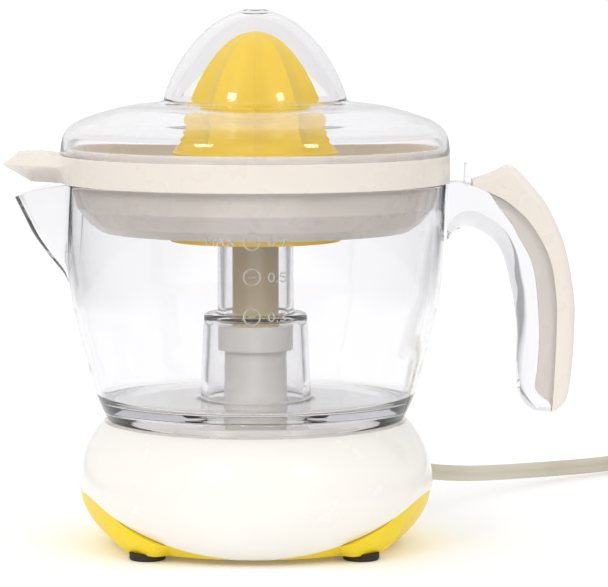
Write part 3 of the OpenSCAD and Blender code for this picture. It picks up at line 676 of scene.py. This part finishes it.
jug_outline = [(53.4, 47.0, 0.3), (54.9, 46.8, 0.5)] + [(r, z, 0) for r, z in side_line[2:]]
jug_outline += [(JUG_R, RIM, 0.8)]
jug_outline += [(JUG_R - JUG_WALL, RIM, 0.8)] + [(r - JUG_WALL, z, 0) for r, z in reversed(side_line[14:])]
jug_outline += [(55.4, 54.6, 2.5), (20.6, 54.6, 1.2), (20.1, 66, 0), (19.6, 77, 0), (19.1, 86.2, 1.6),
                (14.2, 86.2, 1.0), (14.1, 100, 0), (14.0, 127.7, 1.0), (11.7, 127.7, 0.5), (11.7, 84.0, 1),
                (16.8, 84.0, 1), (17.4, 70, 0),
                (18.3, 52.2, 1.5), (51.8, 52.2, 1.5)]
jug = turn("jug_wall", fine(fillet(jug_outline), 1.6),
           columns_at((0, 1.5, 240), (140, 0.5, 161), (174, 0.2, 61)), shift=jug_shift)
finish_piece(crisp(jug, 50), "clear_plastic", "jug", "jug_bowl")

# the handle: a clear channel with an ivory bar let into it
HANDLE_HALF, CHANNEL_HALF = 9.0, 6.6
STATIONS = [  # the clear part's inner edge, its outer edge, the channel's floor, the ivory bar's outer edge
    (70.75, 112.5, 70.75, 134.4, 70.75, 134.4, 70.75, 134.4),
    (73.2, 115.9, 75.3, 134.7, 75.3, 134.7, 75.3, 134.7),
    (77, 117.8, 80.1, 133.5, 80.1, 133.5, 80.1, 135.5), (80.7, 117.6, 86, 131.2, 86, 130.8, 87.5, 138),
    (85, 115.4, 92, 128.2, 90.2, 124.9, 94.6, 140.6), (88.3, 112.9, 98.4, 123, 94.6, 119.2, 102, 133.5),
    (90.9, 109.1, 102.6, 118, 97.4, 114.1, 107.5, 126.5),
    (92.9, 104, 106.8, 110.8, 100.9, 107.9, 112.2, 116.8),
    (94.6, 96.8, 109.4, 103.6, 103.1, 100.7, 115.3, 107), (96.1, 89, 111.1, 91, 104.3, 90.1, 117.9, 91),
    (97.1, 78.3, 111.1, 78.3, 104.9, 78.3, 117.9, 78.3), (96.8, 66, 110.7, 67.6, 104.4, 66.9, 117.3, 67.6),
    (97.2, 58, 110.2, 58, 103.7, 58, 116.2, 58), (99.2, 53.4, 109.9, 53, 108.9, 53, 114.4, 52.9),
    (102.4, 50.6, 109.5, 50, 109.3, 50, 111, 50.1)]
stations = smooth_line(STATIONS, 7)


def corner(d, half, radius, way, steps=8):
    """A rounded corner of a section, as (distance along, sideways) points; way is -1 inward, +1 outward."""
    return [(d - way * radius + way * radius * math.sin(math.pi / 2 * k / steps),
             half - radius + radius * math.cos(math.pi / 2 * k / steps)) for k in range(steps + 1)]


def handle_ring(station, section):
    """Places a section's points between the station's edges."""
    inner, outer, bottom, bar = (Vector(station[k:k + 2]) for k in (0, 2, 4, 6))
    long = (outer - inner).length
    along = (outer - inner).normalized()
    beyond = (bar - outer).normalized() if (bar - outer).length > 0.01 else along
    ring = []
    for d, side in section(long, (bottom - inner).length, (bar - outer).length):
        spot = inner + along * d if d <= long else outer + beyond * (d - long)
        ring.append((AXIS_X + spot.x, side, spot.y))
    return ring


def clear_section(long, floor, _):
    """The clear channel's section, open on its outer side."""
    radius = min(6.5, long * 0.45)
    near = corner(0, HANDLE_HALF, radius, -1)
    half = [(long, HANDLE_HALF), (long * 0.75, HANDLE_HALF)] + near
    floor = min(floor, long)
    return (half + [(d, -s) for d, s in reversed(half)]
            + [(long, -CHANNEL_HALF), (floor, -CHANNEL_HALF), (floor, CHANNEL_HALF), (long, CHANNEL_HALF)])


def bar_section(long, floor, thick):
    """The ivory bar's section: it fills the channel and overlaps its edges."""
    radius = min(3.2, thick * 0.7 + 0.05)
    far = corner(long + max(thick, 0.1), HANDLE_HALF + 0.15, radius, 1)
    half = [(min(floor + 0.2, long), CHANNEL_HALF - 0.1), (long + 0.04, CHANNEL_HALF - 0.1),
            (long + 0.04, HANDLE_HALF + 0.15)] + far
    return half + [(d, -s) for d, s in reversed(half)]


clear_handle = loft("handle_channel", [handle_ring(s, clear_section) for s in stations])
tab_outline = fillet([(77.2, 133.6, 0), (78.8, 133.6, 0), (78.6, 141.6, 0.6), (77.4, 141.6, 0.6)])
tab = loft("handle_tab", [[(AXIS_X + x, y, z) for x, z in tab_outline] for y in (-5.6, -5.2, 5.2, 5.6)])
finish_piece(crisp(clear_handle, 50), "clear_plastic", "jug", "jug_handle")
finish_piece(crisp(tab, 50), "clear_plastic", "jug", "jug_handle")
bar = loft("handle_bar", [handle_ring(s, bar_section) for s in stations[14:]])
finish_piece(crisp(bar, 50), "ivory_plastic", "jug", "handle_grip")


# ---------------------------------------------------------------- the strainer

COVER_TIP = [(134.7, 83), (138.1, 88.6), (140.2, 92.4), (141, 93.4), (141.9, 92.8), (143.6, 89.6),
             (145, 86.3)]
cover_by_z = smooth_line(COVER_TIP, 5)
LIP_R = 69.7         # radius of the raised lip that the lid fits over
COVER_ROUND = 1.0    # how far round from its middle the cover is looked for, in radians


def strainer_shift(r, z, angle):
    """Draws the band out over the jug's spout."""
    off = off_spout(angle)
    above_lip = z > RIM + 0.7 and r < LIP_R - 0.01
    if off > COVER_ROUND or z < RIM - 0.7 or r < 67.7 or z > BAND_TOP + 0.05 or above_lip:
        return r, z
    tip = line_value(cover_by_z, min(max(z, RIM), BAND_TOP))
    out = soft_max(BAND_R, v_reach(tip, off, 0.03), 3)
    start = LIP_R if z > 140 else 67.6
    share = min(max((r - start) / (BAND_R - start), 0), 1)
    wider = r + (out - BAND_R) * share
    rise = 1.4 * min(max((wider - 73) / 9, 0), 1) if z > 143 else 0
    return wider, z + rise * min(max((z - 143) / 1.5, 0), 1)


basket = [(BAND_R, RIM, 0.5), (BAND_R, 143.9, 0), (BAND_R, BAND_TOP, 0.9), (LIP_R, BAND_TOP, 0.3),
          (LIP_R, 147.5, 0.6), (68.2, 147.5, 0.6), (67.9, 143.6, 0), (66.4, 140, 0.5), (65.4, 133, 0),
          (63.9, 126.8, 2), (59.9, 121.4, 3), (56.4, 118.8, 1.5), (44, 118.8, 0), (44, 116.8, 0),
          (57, 116.8, 1.5),
          (61.6, 120, 3), (66.1, 126, 2), (67.6, 133.2, 0), (67.6, RIM, 0.3)]
strainer = turn("strainer_wall", fine(fillet(basket), 1.0),
                columns_at((0, 1.5, 240), (145, 0.5, 141), (175, 0.2, 51)), shift=strainer_shift)
finish_piece(crisp(strainer, 45), "ivory_plastic", "strainer", "strainer_basket")

# ---------------------------------------------------------------- the reamer

CONE_R, CONE_Z, CONE_TOP = 29.9, 146.5, 190
CONE_POWER = 1.35    # how full the cone's outline is
RIBS = 10
FLUTE = 3.9          # the greatest depth of the flutes between them


def cone_shift(r, z, angle):
    """Cuts the flutes into the outer face, one rib facing -Y, and draws the inner face in clear of them."""
    t = (z - CONE_Z) / (CONE_TOP - CONE_Z)
    if t <= 0:
        return r, z
    outer = CONE_R * math.sqrt(max(1 - min(t, 1) ** CONE_POWER, 0))
    if r <= outer - 1.2:
        return r * 0.86, z
    depth = FLUTE * min(1, t / 0.16) ** 1.3 * (1 - t) ** 0.45
    wave = abs(math.sin(RIBS / 2 * (angle - 1.5 * math.pi)))
    return max(r - min(depth, 0.3 * r) * (wave ** 0.9), 0), z


cone_line = [(CONE_R * math.sqrt(max(1 - (k / 60) ** CONE_POWER, 0)), CONE_Z + (CONE_TOP - CONE_Z) * k / 60)
             for k in range(60)]
cone = [(30.7, 122.5, 0.4), (30.7, 145.6, 0.5), (30.1, 146.4, 0.2)] + [(*p, 0) for p in cone_line[1:]]
cone += [(2.2, CONE_TOP - 0.25, 0), (0.4, CONE_TOP, 0), (0.4, CONE_TOP - 2, 0)]
cone += [(max(r - 2.2, 0.5), z - 2.4, 0) for r, z in reversed(cone_line[:-4])]
cone += [(28.6, 143, 0), (28.9, 122.5, 0.4)]
reamer = turn("reamer_cone", fine(fillet(cone), 1.2), evenly(400), shift=cone_shift)
finish_piece(crisp(reamer, 50), "yellow_cone", "reamer", "reamer")

# ---------------------------------------------------------------- the lid

DOME_R, DOME_Z, DOME_H, LID_WALL = 33.8, 164, 34.3, 1.8
LID_LOW = 145.2
lid_side = [(BAND_R, LID_LOW), (BAND_R, 146.8), (71.2, 151.3), (70.1, 153.6), (67.9, 155.8), (64, 158),
            (57.1, 160.3), (48.8, 162.5), (40, 163.7), (35.6, 164.1)]
lid_out = smooth_line(lid_side, 5)
dome = [(DOME_R * math.sqrt(max(1 - (k / 50) ** 1.33, 0)), DOME_Z + 0.9 + (DOME_H - 0.9) * k / 50)
        for k in range(50)]
dome += [(4.5, DOME_Z + DOME_H - 0.16), (2.2, DOME_Z + DOME_H - 0.04), (0.05, DOME_Z + DOME_H)]
lid_line = lid_out + dome


def offset_line(line, gap):
    """The line moved to its right-hand side, which is inward on an outline that climbs."""
    out = []
    for i, here in enumerate(line):
        ahead = Vector(line[min(i + 1, len(line) - 1)]) - Vector(line[max(i - 1, 0)])
        out.append((max(here[0] - gap * ahead.normalized().y, 0.05), here[1] + gap * ahead.normalized().x))
    return out


lid_inner = [p for p in offset_line(lid_line, LID_WALL) if p[1] > 145.3]
lid_outline = [(BAND_R, LID_LOW, 0.4)] + [(*p, 0) for p in lid_line[1:] + lid_inner[::-1]]
lid_outline.append((BAND_R - LID_WALL, LID_LOW, 0.4))
lid = turn("lid_shell", fine(fillet(lid_outline), 2.2), evenly(288))
finish_piece(crisp(lid, 50), "clear_plastic", "lid", "lid")

# ---------------------------------------------------------------- the strainer's slotted floor

SLOTS, SLOT_HALF, SLOT_IN, SLOT_OUT = 20, 1.3, 35.4, 42.4
PER_SLOT = 8         # points round the floor to each slot
FLOOR_TOP = 118.8
floor_r = [31.8, 33.2, 34.6, SLOT_IN, 37.2, 39.8, SLOT_OUT, 44.2]
spots, panes = [], []
for r in floor_r:
    half = math.asin(SLOT_HALF / r)
    rest = 2 * math.pi / SLOTS - 2 * half
    for k in range(SLOTS):
        middle = 2 * math.pi * (k + 0.5) / SLOTS
        for a in [middle - half, middle, middle + half] + [middle + half + rest * j / 6 for j in range(1, 6)]:
            spots.append((AXIS_X + r * math.cos(a), r * math.sin(a), FLOOR_TOP))
ring_count = SLOTS * PER_SLOT
for i in range(len(floor_r) - 1):
    for k in range(ring_count):
        if 3 <= i <= 5 and k % PER_SLOT < 2:
            continue        # a slot
        nxt = (k + 1) % ring_count
        panes.append((i * ring_count + k, i * ring_count + nxt,
                      (i + 1) * ring_count + nxt, (i + 1) * ring_count + k))
slotted = add_mesh("strainer_floor", spots, panes)
if slotted.data.polygons[0].normal.z < 0:
    slotted.data.flip_normals()
thick = slotted.modifiers.new("thick", "SOLIDIFY")
thick.thickness = 2.0 * MM
thick.offset = -1
bake(slotted)
bevel(slotted, 0.25, 2)
finish_piece(crisp(slotted), "ivory_plastic", "strainer", "strainer_basket")

# ---------------------------------------------------------------- the base

BASE_R, BASE_MIDDLE, ABOVE, BELOW, UNDER = 66, 22.5, 45.8, 35.5, 2.2


def base_r(z):
    """The base's outline, two half ellipses."""
    tall = ABOVE if z > BASE_MIDDLE else BELOW
    return BASE_R * math.sqrt(max(1 - ((z - BASE_MIDDLE) / tall) ** 2, 0))


def parting(angle):
    """The height of the line between the white and the yellow shells."""
    z = 10
    for _ in range(12):
        x = base_r(z) * math.cos(angle)
        curve = 107 - math.sqrt(105 ** 2 - x * x)
        z = -soft_max(-21.5, -curve, 3)
    return max(z, UNDER)


deck_corners = [(56.4, 46.1, 0), (50.5, 46.2, 0.6), (50.3, 50.5, 1.2), (11.9, 50.5, 1.5), (11.5, 76, 0.8),
                (8.2, 76, 0.3), (8.2, 48, 0.5), (48, 48, 1), (48, 43.8, 1), (53.5, 43.8, 1)]
deck_line = fine(fillet(deck_corners, closed=False), 1.5, closed=False)


def white_column(angle):
    """The white shell at one angle, from its lower edge up over the deck and back down inside."""
    low = parting(angle)
    rows = 44
    up = [low + (45.4 - low) * k / rows for k in range(rows + 1)]
    out = [(base_r(low) - 0.55, low + 0.02), (base_r(low) - 0.12, low + 0.12)]
    out += [(base_r(z), z) for z in [low + 0.6] + up[1:]]
    inside = [(base_r(z) - 2.4, min(z, 43.6)) for z in reversed(up[:-2])]
    return out + [(base_r(45.85) - 0.15, 45.85)] + deck_line + inside + [(base_r(low) - 1.2, low + 0.02)]


white = shell("base_shell", [around_axis(white_column(a), a) for a in evenly(288)])
finish_piece(crisp(white, 40), "white_shell", "base", "base_housing")

FOOT_AT = 38.7       # each foot is this far from both middle lines
LEG, LEG_AWAY, LEG_Z = 17.2, math.hypot(FOOT_AT, FOOT_AT), 17.5     # a leg's bulge is part of a ball


def yellow_r(angle, z):
    """The yellow shell's reach: the base's own outline, or a leg's where that stands out further."""
    plain = base_r(z) - 0.7
    off = (angle - math.pi / 4) % (math.pi / 2)
    off = min(off, math.pi / 2 - off)
    under_root = LEG ** 2 - (z - LEG_Z) ** 2 - (LEG_AWAY * math.sin(off)) ** 2
    if under_root <= 0:
        return plain
    bound = 64.3 * math.sqrt(max(1 - ((z - 14) / 30) ** 2, 0))
    reach = min(LEG_AWAY * math.cos(off) + math.sqrt(under_root), bound)
    return soft_max(plain, reach, 0.8)


def yellow_column(angle):
    """The yellow shell at one angle, from its upper edge down to the flat underside and back up inside."""
    top = parting(angle) - 0.03
    rows = 40
    edge = UNDER + 0.5
    down = [top + (edge - top) * k / rows if top > edge else top for k in range(rows + 1)]
    out = [(yellow_r(angle, z), z) for z in down]
    last = out[-1][0]
    flat = [(last - 0.15, UNDER + 0.18), (last - 0.6, UNDER)]
    flat += [(last * k / 24, UNDER) for k in range(23, 1, -1)]
    inside = [(4, UNDER + 2), (last - 3, UNDER + 2)]
    inside += [(min(base_r(z), yellow_r(angle, z)) - 2.9, max(z, UNDER + 2)) for z in reversed(down[:-8:4])]
    return out + flat + inside + [(yellow_r(angle, top) - 0.9, top)]


yellow = shell("base_cover", [around_axis(yellow_column(a), a) for a in evenly(480)])
finish_piece(crisp(yellow, 40), "yellow_shell", "base", "bottom_cover")

pad = [(0.3, 0.25, 0), (3.2, 0.25, 0.2), (3.4, 0, 0.2), (6.2, 0, 0.5), (6.6, 0.6, 0.3), (6.6, 2.9, 0.3),
       (0.3, 2.9, 0)]
feet = [turn("foot", fine(fillet(pad), 0.8), evenly(64), centre=(x, y))
        for x in (-FOOT_AT, FOOT_AT) for y in (-FOOT_AT, FOOT_AT)]
finish_piece(crisp(join("feet", feet)), "foot_rubber", "base", "rubber_feet")

# ---------------------------------------------------------------- the level marks on the jug's front

STROKES = {
    "M": [[(0, 0), (0, 3), (1.3, 1.2), (2.6, 3), (2.6, 0)]],
    "A": [[(0, 0), (1.3, 3), (2.6, 0)], [(0.5, 1.1), (2.1, 1.1)]],
    "X": [[(0, 0), (2.3, 3)], [(0, 3), (2.3, 0)]],
    "0": [[(1 + math.cos(math.pi * k / 8), 1.5 + 1.5 * math.sin(math.pi * k / 8)) for k in range(17)]],
    ".": [[(0, 0), (0.25, 0.25)]], "7": [[(0, 3), (2, 3), (0.8, 0)]],
    "5": [[(1.8, 3), (0.2, 3), (0.1, 1.8), (1.1, 1.9), (1.8, 1.3), (1.7, 0.4), (1, 0), (0, 0.3)]],
    "3": [[(0.1, 2.7), (0.9, 3), (1.7, 2.5), (1.5, 1.8), (0.7, 1.6), (1.6, 1.3), (1.8, 0.6), (1, 0), (0, 0.3)]],
}


def on_wall(x, z, out):
    """A point on the jug's front, x to the right and out from its surface."""
    r = line_value(side_by_z, z) + out
    angle = 1.5 * math.pi + x / r
    return (AXIS_X + r * math.cos(angle), r * math.sin(angle), z)


def stroke(line, at_x, at_z, wide=0.5):
    """A raised line on the jug's front."""
    line = [Vector(p) for p in line]
    rings = []
    for i, here in enumerate(line):
        ahead = line[min(i + 1, len(line) - 1)] - line[max(i - 1, 0)]
        normal = Vector((-ahead.y, ahead.x)).normalized() * wide / 2
        rings.append([on_wall(at_x + here.x + normal.x * s, at_z + here.y + normal.y * s, out)
                      for s, out in ((-1, -0.1), (-1, 0.2), (-0.5, 0.32), (0.5, 0.32), (1, 0.2), (1, -0.1))])
    return loft("stroke", rings)


def label(text, at, middle_z, step):
    """The strokes of a short text, from its left edge; a point takes less room than a letter."""
    strokes = []
    for letter in text:
        strokes += [stroke(line, at, middle_z - LETTER_HALF) for line in STROKES[letter]]
        at += 1.2 if letter == "." else step
    return strokes


LETTER_HALF = 1.5    # half of a letter's height
TOP_LEVEL = 117.8
CIRCLE_X = -0.3
circle = [(2.9 * math.cos(math.pi * k / 18), 2.9 * math.sin(math.pi * k / 18)) for k in range(37)]
marks = []
for mark_z, litres in ((TOP_LEVEL, "0.7"), (105.3, "0.5"), (91.2, "0.3")):
    marks += [stroke(circle, CIRCLE_X, mark_z, 0.55), stroke([(-1.3, 0), (1.3, 0)], CIRCLE_X, mark_z, 0.5)]
    marks += label(litres, 5.6, mark_z, 2.9)
marks += label("MAX", -16.4, TOP_LEVEL, 3.7)
level_marks = join("level_marks", marks)
finish_piece(crisp(level_marks, 60), "clear_plastic", "jug", "jug_bowl")
# slotted as the jug's plastic, but frosted so that the marks show
level_marks.data.materials.clear()
level_marks.data.materials.append(MATERIALS["clear_frosted"])

# ---------------------------------------------------------------- the return spring

# on the real juicer it shortens as the spindle is pressed; here it is drawn at one length
SPRING_R, SPRING_WIRE, SPRING_LOW, SPRING_TOP = 6.3, 0.6, 4.2, 17.5
SPRING_TURNS, SPRING_STEPS = 6, 24
spring_count = SPRING_TURNS * SPRING_STEPS
spring_rise = SPRING_TOP - SPRING_LOW - 2 * SPRING_WIRE
spring_rings = []
for k in range(spring_count + 1):
    a = 2 * math.pi * k / SPRING_STEPS
    out = Vector((math.cos(a), math.sin(a), 0))
    middle = Vector((AXIS_X + SPRING_R * math.cos(a), SPRING_R * math.sin(a),
                     SPRING_LOW + SPRING_WIRE + spring_rise * k / spring_count))
    spring_rings.append([tuple(middle + (out * math.cos(b) + UP * math.sin(b)) * SPRING_WIRE)
                         for b in [math.pi * j / 5 for j in range(10)]])
spring = loft("press_spring", spring_rings)
finish_piece(spring, "steel", "thrust", "return_spring")
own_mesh(spring)


# ---------------------------------------------------------------- the CAD nodes that stay in view or inside

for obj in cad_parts.values():
    for held in obj.material_slots:
        if held.material:
            held.material = MATERIALS[held.material.name.split(".")[0]]
